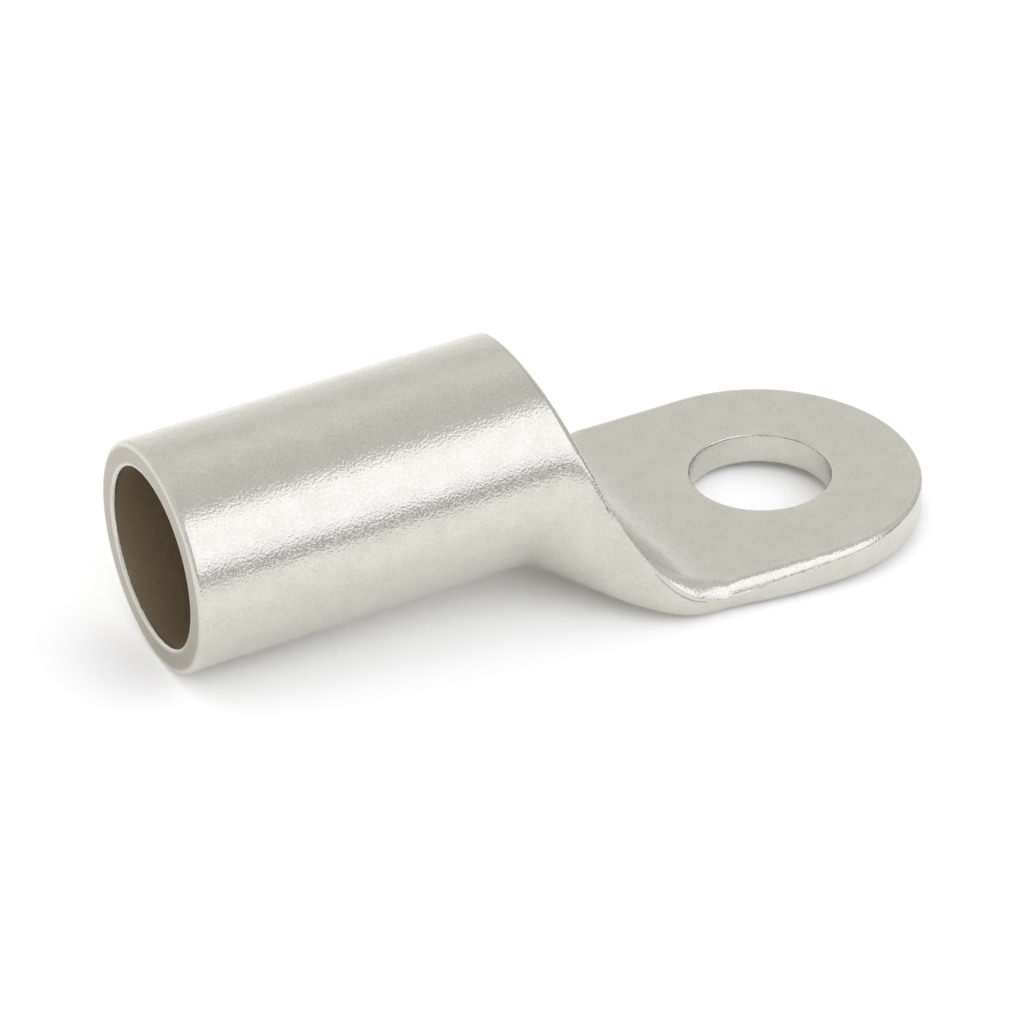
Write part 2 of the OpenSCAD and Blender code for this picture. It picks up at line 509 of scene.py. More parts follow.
@dataclass
class PressedTube:
    """The whole lug: barrel, step and palm pressed from one length of tube.

    Attributes:
        barrel_radius: outside radius of the barrel.
        bore_radius: radius of the bore.
        top_length: length of the barrel along its top, up to the edge of the step.
        lead: round tube left between the bore's end and the step.
        lip: rounding of the mouth's outer lip.
        inner_lip: rounding of the mouth's inner lip.
        mouth_skew: how far the mouth's lowest point stands out past a square cut.
        axis_height: height of the barrel's axis over the palm's middle, at the stud hole.
        dip: slope of the barrel in degrees, its mouth being lower.
        lean: lean of the step's face away from upright, in degrees.
        foot_distance: distance from the stud hole back to the foot of the step.
        palm_width: width of the palm.
        palm_thickness: thickness of the palm.
        hole_radius: radius of the stud hole.
        tip_distance: distance from the stud hole to the palm's tip.
        mouth_distance: distance from the stud hole to the barrel's mouth.
        step_squareness: squareness of the section along the step.
        palm_squareness: squareness of the palm's lower corners.
        square_early: how far before the foot the step's squareness is reached.
        square_until: how far past the foot the palm's is reached.
        spread: part of the formed length over which the flanks spread.
        crown: height on the barrel, as a part of its radius, above which it stays round.
        wall_slit: height of the slit where the bore ends.
        slit_back: distance from the foot back to the slit's end.
        crown_rounding: rounding of the step's edge over the barrel.
        ridge_rounding: rounding of the step's side ridges near the palm.
        palm_rounding: rounding of the palm's long top edges.
        tip_rounding: rounding of the top edge round the palm's tip.
        foot_rise: how far the curve at the step's foot stands over the palm where the
            step's face would meet it.
        foot_rounding: rounding of the line where that curve meets the palm.
        rim_rounding: rounding of the stud hole's rims.
        roll_width: width of the dip that punching leaves round the hole.
        roll_depth: depth of that dip.
        top_columns: columns of points over half the barrel's top and the step's face.
        under_columns: columns over half the underside, as many as on the top.
        flank_columns: columns down a flank.
        step_rows: rows along the step.
        edge_segments: facets across a rounded edge.
    """

    barrel_radius: float = 8.38
    bore_radius: float = 6.5
    top_length: float = 27.8
    lead: float = 2.2
    lip: float = 0.4
    inner_lip: float = 0.26
    mouth_skew: float = 0.39
    axis_height: float = 10.15
    dip: float = 1.4
    lean: float = 17.0
    foot_distance: float = 9.7
    palm_width: float = 24.6
    palm_thickness: float = 2.54
    hole_radius: float = 5.25
    tip_distance: float = 11.9
    mouth_distance: float = 48.38
    step_squareness: float = 20.0
    palm_squareness: float = 110.0
    square_early: float = 5.0
    square_until: float = 8.0
    spread: float = 0.79
    crown: float = 0.6
    wall_slit: float = 0.4
    slit_back: float = 3.0
    crown_rounding: float = 0.5
    ridge_rounding: float = 1.25
    palm_rounding: float = 0.85
    tip_rounding: float = 0.3
    foot_rise: float = 0.5
    foot_rounding: float = 0.22
    rim_rounding: float = 0.13
    roll_width: float = 1.2
    roll_depth: float = 0.1

    top_columns: int = 9
    under_columns: int = 9
    flank_columns: int = 18
    step_rows: int = 22
    edge_segments: int = 4

    def build(self, material: bpy.types.Material) -> bpy.types.Object:
        """Makes the lug's mesh.

        Args:
            material: finish of the whole piece.

        Returns:
            The finished object, at the origin, in metres.
        """
        tree = bpy.data.node_groups.new("pressed_tube", "GeometryNodeTree")
        maker = TreeMaker(tree)
        named = self._inputs(maker)
        rule = TubeRule(maker, self, named)
        rule.barrel()
        rule.bore_end()
        rule.rounded_length()
        rule.step()
        rule.palm()
        rule.stud_hole()
        maker.close(material)
        plain = self._evaluate(tree, named)
        self._finish_edges(plain)
        return plain

    def _inputs(self, maker: TreeMaker) -> dict[str, Field]:
        """Gives the tree one named input for each size.

        Args:
            maker: the tree's maker.

        Returns:
            Each size's field by its attribute name.
        """
        face = maker.tree.interface
        face.new_socket("Geometry", in_out="INPUT", socket_type="NodeSocketGeometry")
        face.new_socket("Geometry", in_out="OUTPUT", socket_type="NodeSocketGeometry")
        names = [n for n, v in vars(self).items() if isinstance(v, float)]
        for name in names:
            label = name.replace("_", " ").capitalize()
            socket = face.new_socket(label, in_out="INPUT", socket_type="NodeSocketFloat")
            socket.default_value = getattr(self, name)
        start = maker.node("NodeGroupInput")
        return {n: Field(maker, start.outputs[i + 1]) for i, n in enumerate(names)}

    def _evaluate(self, tree: bpy.types.NodeTree, named: dict[str, Field]) -> bpy.types.Object:
        """Runs the tree and turns its result into a plain mesh.

        Args:
            tree: the tree to run.
            named: the sizes that have an input.

        Returns:
            An object with a plain mesh and no modifier.
        """
        host = bpy.data.objects.new("lug_host", bpy.data.meshes.new("lug_host"))
        bpy.context.scene.collection.objects.link(host)
        modifier = host.modifiers.new("pressed_tube", "NODES")
        modifier.node_group = tree
        sockets = {
            item.name: item.identifier
            for item in tree.interface.items_tree
            if getattr(item, "in_out", "") == "INPUT"
        }
        for name in named:
            modifier[sockets[name.replace("_", " ").capitalize()]] = getattr(self, name)
        graph = bpy.context.evaluated_depsgraph_get()
        mesh = bpy.data.meshes.new_from_object(host.evaluated_get(graph), depsgraph=graph)
        mesh.name = "lug_body"
        made = bpy.data.objects.new("lug_body", mesh)
        bpy.context.scene.collection.objects.link(made)
        host.modifiers.remove(modifier)
        bpy.data.objects.remove(host)
        return made

    def _finish_edges(self, body: bpy.types.Object) -> None:
        """Rounds the edges that the tree has marked, and smooths the whole.

        Args:
            body: the lug's object.
        """
        mesh = body.data
        widths = [d.value for d in mesh.attributes[ROUNDING_NAME].data]
        widest = max(widths)
        marks = mesh.attributes.new("bevel_weight_edge", "FLOAT", "EDGE")
        for edge in mesh.edges:
            a, b = (widths[v] for v in edge.vertices)
            marks.data[edge.index].value = (a + b) / 2 / widest if min(a, b) > 0 else 0.0
        bevel = body.modifiers.new("rounded_edges", "BEVEL")
        bevel.limit_method = "WEIGHT"
        bevel.width = widest * MILLIMETRE
        bevel.segments = self.edge_segments
        bevel.profile = EDGE_PROFILE
        bevel.use_clamp_overlap = False
        smooth = body.modifiers.new("smooth", "SUBSURF")
        smooth.levels = smooth.render_levels = 1


class TubeRule:
    """The rule that the tube's surface follows, written as fields of the node tree.

    Only the half with y above zero is made; the tree mirrors it. Along the part, a spot is
    a pair (x, z) in the plane of symmetry, and a height v is measured from the barrel's
    axis, square to it. Rows and columns are crowded by raising their share to a power.
    """

    side_rows = 8
    tip_rows = 16
    hole_rows = 9
    hole_wall_rows = 4
    wall_rows = 10
    lip_rows = 6
    outside_rows = 12
    closing_rows = 12
    rounded_rows = 8
    meeting_tries = 10

    wall_crowding = 0.6
    outside_crowding = 1.3
    flank_crowding = 1.8
    side_crowding = 1.6
    under_crowding = 1.6
    top_crowding = 1.4
    low_crowding = 1.7
    # Part of the palm's side that its first column keeps clear for the edge's rounding.
    clear_share = 0.42
    # Where the bore turns down, how sharply its end shuts and how square its slit is.
    closing_turn = 0.4
    closing_power = 12
    slit_squareness = 4.0
    # Part of the step over which the ridge's rounding widens.
    ridge_widens = (0.05, 0.65)
    # Rows past the foot over which the rounding narrows to the palm's, and rows before
    # and past the start of the tip over which it narrows to the tip's.
    corner_rows = 3.0
    tip_narrows = (-1, 6)

    def __init__(self, maker: TreeMaker, counts: PressedTube, named: dict[str, Field]) -> None:
        """Works out the places that the sheets share.

        Args:
            maker: the tree's maker.
            counts: the lug, for its numbers of rows and columns.
            named: fields of the lug's sizes.
        """
        self.maker = maker
        self.counts = counts
        self.size = named
        m, s = maker, named
        self.cos_dip = m.math("COSINE", s["dip"] * DEGREE)
        self.sin_dip = m.math("SINE", s["dip"] * DEGREE)
        self.slope = self.sin_dip / self.cos_dip
        self.mouth_z = s["axis_height"] - s["mouth_distance"] * self.slope
        self.radius = s["barrel_radius"]
        self.palm_top = s["palm_thickness"] / 2
        self.half_palm = s["palm_width"] / 2
        self.start = s["top_length"] - s["lead"]
        self.start_x = self.along(self.start, -self.radius)[0]
        self.edge = self.along(s["top_length"], self.radius)
        self.foot: Spot = (-s["foot_distance"], self.palm_top)
        self.formed = self.foot[0] - self.edge[0]
        lean = m.math("TANGENT", s["lean"] * DEGREE)
        self.step_mid = self.along(s["top_length"] + self.radius * lean, 0.0)
        run = (self.step_mid[0] - self.edge[0]) / (self.step_mid[1] - self.edge[1])
        self.step_root: Spot = (
            self.step_mid[0] + run * (self.palm_top - self.step_mid[1]),
            self.palm_top + s["foot_rise"],
        )
        meet = self.edge[0]
        for _ in range(self.meeting_tries):
            meet = self.edge[0] + run * (self.under_z(meet) - self.edge[1])
        self.step_under: Spot = (meet, self.under_z(meet))

    # Places and sections ------------------------------------------------------------

    def along(self, x: Number, v: Number) -> Spot:
        """The spot at distance x from the mouth and height v over the barrel's axis."""
        return (
            x * self.cos_dip - v * self.sin_dip - self.size["mouth_distance"],
            x * self.sin_dip + v * self.cos_dip + self.mouth_z,
        )

    def axis_z(self, x: Number) -> Field:
        """Height of the barrel's axis at x."""
        return self.size["axis_height"] + x * self.slope

    def over_axis(self, spot: Spot) -> Field:
        """Height of a spot over the axis, square to it."""
        return (spot[1] - self.axis_z(spot[0])) * self.cos_dip

    def under_z(self, x: Number) -> Field:
        """Height of the underside at x."""
        share = self.maker.ease(x, self.start_x, self.foot[0])
        barrel = self.axis_z(x) - self.radius / self.cos_dip
        return self.maker.mix(barrel, -self.palm_top, share)

    def half_width(self, x: Number) -> Field:
        """Half the width of the section at x."""
        end = self.edge[0] + self.size["spread"] * self.formed
        share = self.maker.ease(x, self.edge[0], end)
        return self.maker.mix(self.radius, self.half_palm, share)

    def square(self, x: Number) -> Field:
        """Squareness of the section at x, from 2 where it is round."""
        m, s = self.maker, self.size
        formed = m.ease(x, self.start_x, self.foot[0] - s["square_early"])
        flat = m.ease(x, self.foot[0], self.foot[0] + s["square_until"])
        step, palm = s["step_squareness"], s["palm_squareness"]
        return (step / 2) ** formed * (palm / step) ** flat * 2.0

    def depth(self, x: Number) -> Field:
        """Distance from the axis down to the underside at x."""
        return (self.axis_z(x) - self.under_z(x)) * self.cos_dip

    def flank_y(self, x: Number, v: Number) -> Field:
        """Half width of the section at x and height v below the axis."""
        share = self.maker.math("ABSOLUTE", v / self.depth(x))
        return self.half_width(x) * self.maker.superellipse(share, self.square(x))

    def step_at(self, t: Number) -> Spot:
        """Spot on the step's face, from its middle at t = 0 to its foot at t = 1."""
        parts = []
        for mid, root, foot in zip(self.step_mid, self.step_root, self.foot):
            rest = 1.0 - t
            parts.append(rest * rest * mid + 2.0 * t * rest * root + t * t * foot)
        return parts[0], parts[1]

    def _between(self, top: Spot, low: Spot, v: Number) -> Spot:
        """The spot at height v on the line from top to low."""
        high, deep = self.over_axis(top), self.over_axis(low)
        share = (high - v) / (high - deep)
        mix = self.maker.mix
        return mix(top[0], low[0], share), mix(top[1], low[1], share)

    # Columns of half a ring -----------------------------------------------------------

    def _flank_share(self, column: Number, flat: Number = 0.0) -> Field:
        """How far down the flank a column is, crowded towards the underside.

        Args:
            column: the column.
            flat: 1 where the flank is the palm's low side, whose first column keeps clear
                of the edge's rounding, and 0 where the tube is round.

        Returns:
            The share of the way down.
        """
        m, last, clear = self.maker, self.counts.flank_columns, self.clear_share
        even = 1.0 - m.math("SUBTRACT", 1.0, column / last) ** self.flank_crowding
        if flat == 0.0:
            return even
        past = m.math("MAXIMUM", m.math("SUBTRACT", column, 1.0), 0.0) / (last - 1)
        rest = 1.0 - (1.0 - past) ** self.side_crowding
        low = m.above(column, 0.5) * (clear + (1.0 - clear) * rest)
        return m.mix(even, low, flat)

    def _under_share(self, column: Field) -> Field:
        """How far out from the middle a column of the underside is, crowded outwards."""
        return 1.0 - (column / self.counts.under_columns) ** self.under_crowding

    def _flank(
        self, top: Spot, low: Spot, side: Number, column: Field, flat: Number = 0.0
    ) -> Place:
        """A point on the flank of one ring.

        Args:
            top: the ring's spot on the top line.
            low: its spot on the underside.
            side: height at which the flank starts.
            column: the point's column.
            flat: how far the columns are spaced as on the palm's side.

        Returns:
            The point's place.
        """
        deep = self.over_axis(low)
        corner = deep * (0.5 ** (1.0 / self.square(low[0])))
        v = self.maker.mix(side, corner, self._flank_share(column, flat))
        x, z = self._between(top, low, v)
        return x, self.flank_y(x, v), z

    def _under(self, top: Spot, low: Spot, column: Field) -> Place:
        """A point on the underside of one ring, between its corner and the middle.

        Args:
            top: the ring's spot on the top line.
            low: its spot on the underside.
            column: the point's column, 0 at the corner.

        Returns:
            The point's place.
        """
        m = self.maker
        deep = self.over_axis(low)
        square = self.square(low[0])
        corner = 0.5 ** (1.0 / square)
        corner_x, _ = self._between(top, low, deep * corner)
        y_corner = self.flank_y(corner_x, deep * corner)
        share = self._under_share(column)
        bulge = m.superellipse(share * corner, square)
        x = m.mix(low[0], corner_x, (1.0 - bulge) / (1.0 - corner))
        y = y_corner * share
        v = -self.depth(x) * m.superellipse(y / self.half_width(x), self.square(x))
        return x, y, self.axis_z(x) + v / self.cos_dip

    def _unit(self, column: Field) -> tuple[Field, Field]:
        """Sideways and upward parts of a round ring's column, on a circle of radius 1."""
        m, c = self.maker, self.counts
        turn = m.math("MINIMUM", column / c.top_columns, 1.0) * QUARTER_TURN
        flank_v = -self._flank_share(column - c.top_columns) * HALF_ROOT
        flank_y = m.math("SQRT", 1.0 - flank_v * flank_v)
        under_y = self._under_share(column - (c.top_columns + c.flank_columns)) * HALF_ROOT
        under_v = -m.math("SQRT", 1.0 - under_y * under_y)
        past_top = column - (c.top_columns + 0.5)
        past_flank = column - (c.top_columns + c.flank_columns + 0.5)
        across = m.choose(past_top, m.math("SINE", turn), m.choose(past_flank, flank_y, under_y))
        up = m.choose(past_top, m.math("COSINE", turn), m.choose(past_flank, flank_v, under_v))
        return across, up

    @property
    def _ring_columns(self) -> int:
        """Number of columns of half a ring."""
        c = self.counts
        return c.top_columns + c.flank_columns + c.under_columns

    # Sheets ---------------------------------------------------------------------------

    def barrel(self) -> None:
        """Bore wall, rolled lips, mouth face and outside of the barrel, as one sheet."""
        m, s = self.maker, self.size
        wall_rows, lip_rows, out_rows = self.wall_rows, self.lip_rows, self.outside_rows
        face_row = wall_rows + lip_rows
        outer_row = face_row + 1 + lip_rows

        def profile(row: Field) -> tuple[Field, Field]:
            """Distance from the mouth and from the axis at a row."""
            inner_turn = (row - wall_rows) / lip_rows * QUARTER_TURN
            outer_turn = (row - face_row - 1) / lip_rows * QUARTER_TURN
            in_lip, out_lip = s["inner_lip"], s["lip"]
            wall_x = m.mix(self.start, in_lip, (row / wall_rows) ** self.wall_crowding)
            out_share = ((row - outer_row) / out_rows) ** self.outside_crowding
            out_x = m.mix(out_lip, self.start, out_share)
            in_x = in_lip * (1.0 - m.math("SINE", inner_turn))
            in_r = s["bore_radius"] + in_lip * (1.0 - m.math("COSINE", inner_turn))
            lip_x = out_lip * (1.0 - m.math("COSINE", outer_turn))
            lip_r = self.radius - out_lip * (1.0 - m.math("SINE", outer_turn))
            x, r = wall_x, s["bore_radius"]
            for limit, next_x, next_r in (
                (wall_rows, in_x, in_r),
                (face_row, lip_x, lip_r),
                (outer_row, out_x, self.radius),
            ):
                past = row - (limit + 0.5)
                x, r = m.choose(past, x, next_x), m.choose(past, r, next_r)
            return x, r

        def place(row: Field, column: Field) -> Place:
            """Place of a point of the barrel."""
            x, r = profile(row)
            across, up = self._unit(column)
            height = r * up
            skew = s["mouth_skew"] * (1.0 - height / self.radius) / 2 * (1.0 - x / self.start)
            spot = self.along(x - skew, height)
            return spot[0], r * across, spot[1]

        def shade_rough_level(row: Field, column: Field) -> Field:
            """Level of the mask for painted shade and roughness: full in the bore, half on the
            mouth's face, none elsewhere.
            """
            face = m.above(row, face_row - 0.5) * (1.0 - m.above(row, face_row + 1.5))
            return 1.0 - m.above(row, wall_rows + 0.5) + face * FACE_SHADE_LEVEL

        m.sheet(outer_row + out_rows, self._ring_columns, place, shade_rough=shade_rough_level)

    def bore_end(self) -> None:
        """The bore beyond its round length, closing to a slit."""
        m, s = self.maker, self.size
        rows = self.closing_rows
        slit_x = self.foot[0] - s["slit_back"]
        wall = self.radius - s["bore_radius"]
        high = self.along(self.start, s["bore_radius"])
        low_x = self.along(self.start, -s["bore_radius"])[0]
        turn_x = m.mix(high[0], slit_x, self.closing_turn)
        wide = self.half_palm - 2.0 * wall

        def place(row: Field, column: Field) -> Place:
            """Place of a point of the closing bore."""
            t = 1.0 - row / rows
            rest = 1.0 - t
            closing = 1.0 - t**self.closing_power
            slit = s["wall_slit"] / 2 * closing
            top: Spot = (
                rest * rest * high[0] + 2.0 * t * rest * turn_x + t * t * slit_x,
                rest * rest * high[1] + (2.0 * t * rest + t * t) * slit,
            )
            x = m.mix(low_x, slit_x, t)
            low: Spot = (x, m.mix(self.under_z(x) + wall, -slit, m.ease(t)))
            across, up = self._unit(column)
            share = (1.0 - up) / 2
            width = m.mix(s["bore_radius"], wide, m.ease(t)) * closing
            y = width * across ** (2.0 / m.mix(2.0, self.slit_squareness, t))
            return m.mix(top[0], low[0], share), y, m.mix(top[1], low[1], share)

        # The whole closing bore takes the full painted shade and roughness.
        m.sheet(rows, self._ring_columns, place, shade_rough=lambda row, column: 1.0)

    def _rounded_ring(self, t: Number) -> tuple[Spot, Spot]:
        """Top and underside spots of a ring between the round tube and the step's edge."""
        mix = self.maker.mix
        top_start = self.along(self.start, self.radius)
        top = (mix(top_start[0], self.edge[0], t), mix(top_start[1], self.edge[1], t))
        x = mix(self.along(self.start, -self.radius)[0], self.step_under[0], t)
        return top, (x, self.under_z(x))

    def _arc(self, t: Number, column: Field) -> Place:
        """A point over the barrel's axis on one of those rings."""
        m = self.maker
        top, low = self._rounded_ring(t)
        turn = column / self.counts.top_columns * QUARTER_TURN
        v = self.radius * m.math("COSINE", turn)
        x, z = self._between(top, low, v)
        round_above = m.ease(v, 0.0, self.size["crown"] * self.radius)
        swell = (self.half_width(x) - self.radius) * (1.0 - round_above)
        return x, self.radius * m.math("SINE", turn) + swell, z

    def rounded_length(self) -> None:
        """The tube up to the step's edge, still round on top."""
        m, c, rows = self.maker, self.counts, self.rounded_rows

        def at_edge(row: Field) -> Field:
            """Rounding on the step's edge, which is the last row."""
            return m.above(row, rows - 0.5) * self.size["crown_rounding"]

        m.sheet(
            rows,
            c.top_columns,
            lambda row, column: self._arc(row / rows, column),
            rounding=lambda row, column: at_edge(row),
        )
        m.sheet(
            rows,
            c.flank_columns,
            lambda row, column: self._flank(*self._rounded_ring(row / rows), 0.0, column),
            rounding=lambda row, column: at_edge(row) * (1.0 - m.above(column, 0.5)),
        )
        m.sheet(
            rows,
            c.under_columns,
            lambda row, column: self._under(*self._rounded_ring(row / rows), column),
        )

    def _step_ring(self, t: Number) -> tuple[Spot, Spot]:
        """Top and underside spots of a ring under the step's face."""
        x = self.maker.mix(self.step_under[0], self.foot[0], t)
        return self.step_at(t), (x, self.under_z(x))

    def _top_line(self, spot: Spot, column: Field) -> Place:
        """A point on the straight line across the step's face at one spot."""
        y = self.flank_y(spot[0], self.over_axis(spot))
        return spot[0], y * (column / self.counts.top_columns), spot[1]

    def step(self) -> None:
        """The step's face, the curve at its foot, and the flanks and underside below."""
        m, c = self.maker, self.counts
        rows = c.step_rows

        def ridge(row: Field) -> Number:
            """Rounding on the ridge, which widens towards the palm."""
            share = m.ease(row / rows, *self.ridge_widens)
            return m.mix(self.size["crown_rounding"], self.size["ridge_rounding"], share)

        def face(row: Field, column: Field) -> Place:
            """Place of a point on the flat face over the barrel's axis."""
            arc = self._arc(1.0, column)
            line = self._top_line(self.step_mid, column)
            return tuple(m.mix(a, b, row) for a, b in zip(arc, line))

        m.sheet(
            1,
            c.top_columns,
            face,
            rounding=lambda row, column: self.size["crown_rounding"]
            * m.math("MAXIMUM", 1.0 - row, m.above(column, c.top_columns - 0.5)),
        )
        m.sheet(
            rows,
            c.top_columns,
            lambda row, column: self._top_line(self.step_at(row / rows), column),
            rounding=lambda row, column: m.math(
                "MAXIMUM",
                ridge(row) * m.above(column, c.top_columns - 0.5),
                self.size["foot_rounding"] * m.above(row, rows - 0.5),
            ),
        )

        def flank(row: Field, column: Field) -> Place:
            """Place of a point on the flank below the ridge."""
            top, low = self._step_ring(row / rows)
            return self._flank(top, low, self.over_axis(top), column, m.ease(row / rows))

        m.sheet(
            rows,
            c.flank_columns,
            flank,
            rounding=lambda row, column: ridge(row) * (1.0 - m.above(column, 0.5)),
        )
        m.sheet(
            rows,
            c.under_columns,
            lambda row, column: self._under(*self._step_ring(row / rows), column),
        )

    # The palm -------------------------------------------------------------------------

    def _outline(self, row: Field, inset: Number) -> tuple[Field, Field]:
        """A point of the palm's outline, from the foot along the side to the tip.

        Args:
            row: steps along the outline.
            inset: distance that the point lies inwards of it.

        Returns:
            The point's x and y.
        """
        m = self.maker
        side_rows = self.side_rows
        end_x = self.size["tip_distance"] - self.half_palm
        turn = m.math("MAXIMUM", (row - side_rows) / self.tip_rows, 0.0) * QUARTER_TURN
        share = m.math("MINIMUM", row / side_rows, 1.0)
        reach = self.half_palm - inset
        x = m.mix(self.foot[0], end_x, share) + reach * m.math("SINE", turn)
        return x, reach * m.math("COSINE", turn)

    def _side_inset(self, row: Field, column: Number) -> tuple[Field, Field]:
        """How far inwards a column of the palm's side lies, and its height."""
        m = self.maker
        x = self._outline(row, 0.0)[0]
        square = self.square(x)
        deep = self.depth(self.foot[0])
        high = self.over_axis(self.foot)
        v = m.mix(high, -deep * (0.5 ** (1.0 / square)), self._flank_share(column, 1.0))
        share = m.math("ABSOLUTE", v / deep)
        inset = self.half_palm * (1.0 - m.superellipse(share, square))
        return inset, self.axis_z(self.foot[0]) + v / self.cos_dip

    def _top_edge(self, row: Field) -> Flat:
        """A point on the edge round the palm's top."""
        return self._outline(row, self._side_inset(row, 0)[0])

    def _foot_line(self, row: Field) -> Flat:
        """A point on the line where the step meets the palm's top, from the middle out."""
        x, y, _ = self._top_line(self.foot, row)
        return x, y

    def _rim(self, guide: Flat) -> Flat:
        """The point of the stud hole's edge in the direction of a guide point."""
        length = self.maker.math("SQRT", guide[0] * guide[0] + guide[1] * guide[1])
        share = self.size["hole_radius"] / length
        return guide[0] * share, guide[1] * share

    def _bottom(self, x: Number, y: Number) -> Field:
        """Height of the palm's underside, rounded towards its outline."""
        m = self.maker
        end_x = self.size["tip_distance"] - self.half_palm
        past = m.math("MAXIMUM", x - end_x, 0.0)
        reach = m.math("SQRT", past * past + y * y)
        deep = self.depth(self.foot[0])
        lift = 1.0 - m.superellipse(
            m.math("MINIMUM", reach / self.half_palm, 1.0), self.square(x)
        )
        return lift * deep / self.cos_dip - self.palm_top

    def _edge_width(self, row: Field) -> Number:
        """Rounding of the edge round the palm's top, from the foot to the tip."""
        m, s = self.maker, self.size
        past_foot = m.ease(row, 0.0, self.corner_rows)
        side = m.mix(s["ridge_rounding"], s["palm_rounding"], past_foot)
        first, last = (self.side_rows + rows for rows in self.tip_narrows)
        return m.mix(side, s["tip_rounding"], m.ease(row, first, last))

    def palm(self) -> None:
        """Top, side and underside of the palm."""
        m, c, s = self.maker, self.counts, self.size
        around = self.side_rows + self.tip_rows

        def side(row: Field, column: Field) -> Place:
            """Place of a point on the palm's side."""
            inset, z = self._side_inset(row, column)
            x, y = self._outline(row, inset)
            return x, y, z

        m.sheet(
            around,
            c.flank_columns,
            side,
            rounding=lambda row, column: self._edge_width(row) * (1.0 - m.above(column, 0.5)),
        )

        def spoke(start: Flat, guide: Flat, share: Number) -> Flat:
            """A point a share of the way from start to the hole's edge nearest the guide."""
            rim = self._rim(guide)
            return m.mix(start[0], rim[0], share), m.mix(start[1], rim[1], share)

        def inwards(column: Field) -> Field:
            """Share of a spoke on the palm's top, crowded towards the hole."""
            return 1.0 - (1.0 - column / self.hole_rows) ** self.top_crowding

        def outwards(column: Field) -> Field:
            """Share of a spoke on the palm's underside, crowded towards its outline."""
            return (1.0 - column / self.hole_rows) ** self.low_crowding

        def roll(x: Number, y: Number) -> Field:
            """Height of the palm's top, which dips towards the punched hole."""
            gap = m.math("SQRT", x * x + y * y) - s["hole_radius"]
            share = 1.0 - m.math("MINIMUM", gap / s["roll_width"], 1.0)
            return self.palm_top - s["roll_depth"] * share * share

        def top_mark(width: Number, column: Field) -> Field:
            """Rounding on the outer edge, of the given width, and on the hole's rim."""
            outer = width * (1.0 - m.above(column, 0.5))
            return outer + s["rim_rounding"] * m.above(column, self.hole_rows - 0.5)

        def top_side(row: Field, column: Field) -> Place:
            """Place of a point on the palm's top, from the outline inwards."""
            edge = self._top_edge(row)
            x, y = spoke(edge, edge, inwards(column))
            return x, y, roll(x, y)

        m.sheet(
            around,
            self.hole_rows,
            top_side,
            rounding=lambda row, column: top_mark(self._edge_width(row), column),
            turned=True,
        )

        def top_back(row: Field, column: Field) -> Place:
            """Place of a point on the palm's top, from the step's foot inwards."""
            edge = self._foot_line(row)
            x, y = spoke(edge, edge, inwards(column))
            return x, y, roll(x, y)

        m.sheet(
            c.top_columns,
            self.hole_rows,
            top_back,
            rounding=lambda row, column: top_mark(
                m.choose(row - (c.top_columns - 0.5), s["foot_rounding"], s["ridge_rounding"]),
                column,
            ),
            turned=True,
        )

        def low_mark(row: Field, column: Field) -> Field:
            """Rounding on the hole's lower rim."""
            return s["rim_rounding"] * (1.0 - m.above(column, 0.5))

        def low_side(row: Field, column: Field) -> Place:
            """Place of a point on the palm's underside, from the hole outwards."""
            inset, _ = self._side_inset(row, c.flank_columns)
            x, y = spoke(self._outline(row, inset), self._top_edge(row), outwards(column))
            return x, y, self._bottom(x, y)

        m.sheet(around, self.hole_rows, low_side, rounding=low_mark, turned=True)

        def low_back(row: Field, column: Field) -> Place:
            """Place of a point on the palm's underside, from the hole to the step."""
            low = (self.foot[0], -self.palm_top)
            edge_x, edge_y, _ = self._under(self.foot, low, c.under_columns - row)
            x, y = spoke((edge_x, edge_y), self._foot_line(row), outwards(column))
            return x, y, self._bottom(x, y)

        m.sheet(c.under_columns, self.hole_rows, low_back, rounding=low_mark, turned=True)

    def stud_hole(self) -> None:
        """Wall of the stud hole, joining the rims of the palm's top and underside."""
        m, c, s = self.maker, self.counts, self.size
        around = self.side_rows + self.tip_rows
        rows = self.hole_wall_rows
        high = self.palm_top - s["roll_depth"]

        def wall(guide: Flat, row: Field) -> Place:
            """Place on the wall in the direction of a guide point."""
            return *self._rim(guide), m.mix(high, -self.palm_top, row / rows)

        def mark(row: Field, column: Field) -> Field:
            """Rounding on both rims."""
            ends = m.above(m.math("ABSOLUTE", row - rows / 2), rows / 2 - 0.5)
            return ends * s["rim_rounding"]

        for columns, guide in ((around, self._top_edge), (c.top_columns, self._foot_line)):
            m.sheet(
                rows,
                columns,
                lambda row, column, guide=guide: wall(guide(column), row),
                rounding=mark,
            )


# ---------------------------------------------------------------- the studio


